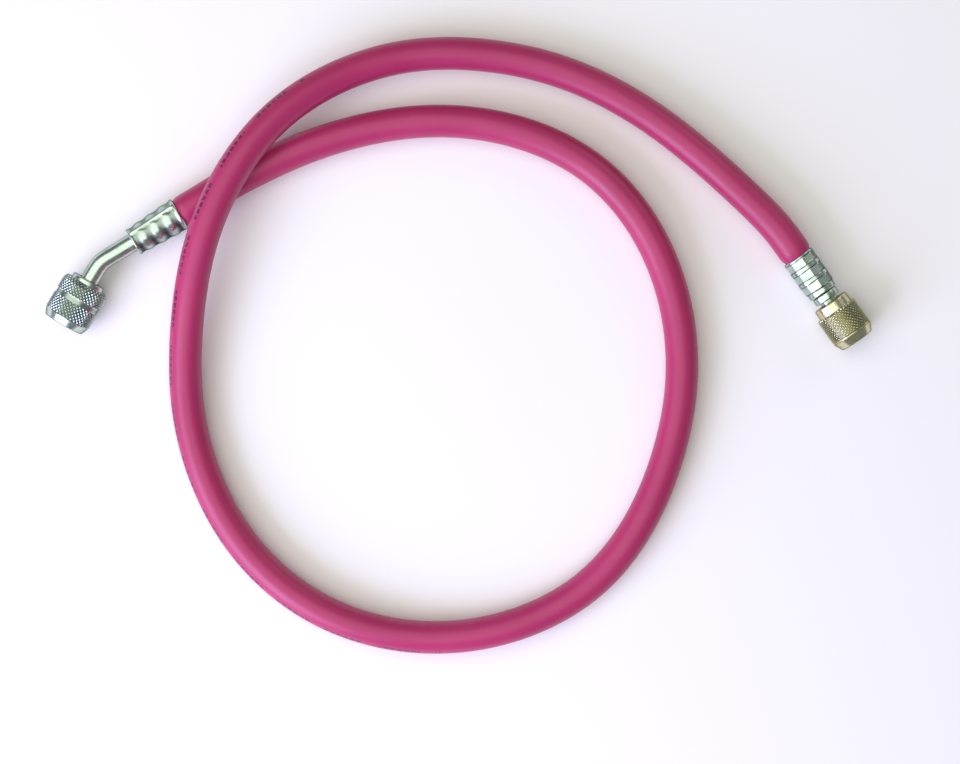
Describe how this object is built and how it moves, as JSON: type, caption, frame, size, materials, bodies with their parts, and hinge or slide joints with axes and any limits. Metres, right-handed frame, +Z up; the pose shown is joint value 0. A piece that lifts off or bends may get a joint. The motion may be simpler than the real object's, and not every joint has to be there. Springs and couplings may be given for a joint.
{
  "type": "refrigerant charging hose",
  "caption": "Raspberry red rubber charging hose lying in a loose ring, with a bent swivel nut fitting on one end and a straight one on the other.",
  "frame": {"origin": "centre of the box round the two fittings, without the hose, on the floor that it lies on", "axes": "+X from the bent fitting towards the straight one, +Y away from the lower side of the ring as the picture shows it, +Z up from the floor"},
  "size_m": [0.2882, 0.2156, 0.0239],
  "materials": {
    "hose_rubber": "satin",
    "nickel_plate": "gloss",
    "pale_brass": "satin",
    "brass": "satin",
    "seal_rubber": "matte"
  },
  "bodies": {
    "root": {"hose": "hose_rubber", "bent_ferrule": "nickel_plate", "bent_stem": "nickel_plate", "bent_end_gasket": "seal_rubber", "core_depressor": "brass", "straight_ferrule": "nickel_plate", "straight_stem": "nickel_plate", "straight_end_gasket": "seal_rubber"},
    "bent_nut": {"bent_end_nut": "nickel_plate"},
    "straight_nut": {"straight_end_nut": "pale_brass"}
  },
  "joints": [
    {"name": "bent_nut_swivel", "type": "hinge", "parent": "root", "child": "bent_nut", "pos_m": [-0.12933, -0.00238, 0.0084], "axis": [-0.5165, -0.8563, 0], "continuous": true},
    {"name": "straight_nut_swivel", "type": "hinge", "parent": "root", "child": "straight_nut", "pos_m": [0.12906, -0.0098, 0.0076], "axis": [0.5804, -0.8143, 0], "continuous": true}
  ]
}
